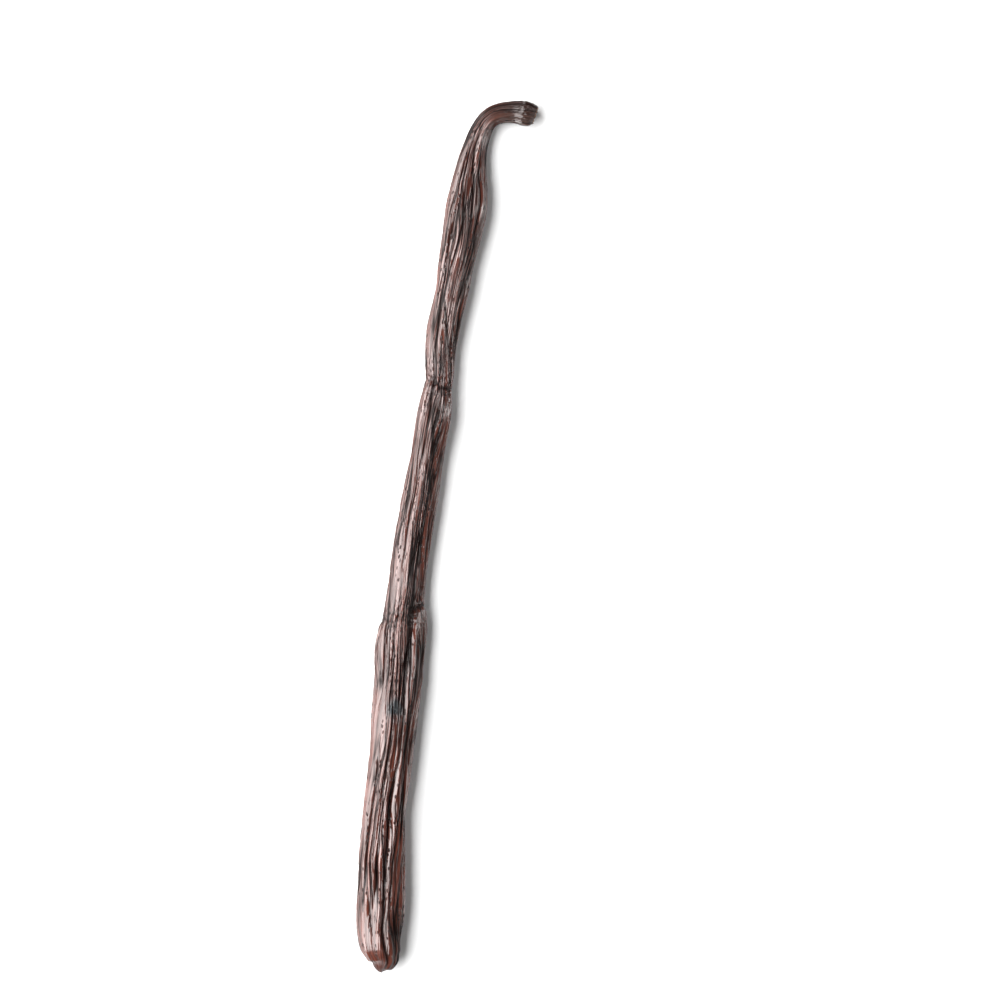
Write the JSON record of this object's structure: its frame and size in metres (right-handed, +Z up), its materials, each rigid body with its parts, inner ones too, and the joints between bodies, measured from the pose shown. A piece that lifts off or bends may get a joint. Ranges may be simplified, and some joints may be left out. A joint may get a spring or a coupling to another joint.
{
  "type": "vanilla pod",
  "caption": "Cured vanilla pod lying on its side, a long flattened capsule with lengthwise folds, a ring fold, a knuckle and a hooked neck.",
  "frame": {"origin": "on the surface that the pod lies on, under the middle of its box", "axes": "+Y along the pod from its blunt blossom end to its neck, +X the way the neck hooks over, +Z up from the surface it lies on"},
  "size_m": [0.0366, 0.1749, 0.0072],
  "materials": {
    "pod_skin": "oily, leathery cured skin, finely wrinkled lengthwise, dark red-brown to near black with a soft uneven gloss"
  },
  "bodies": {
    "root": {"vanilla_pod": "pod_skin"}
  },
  "joints": []
}
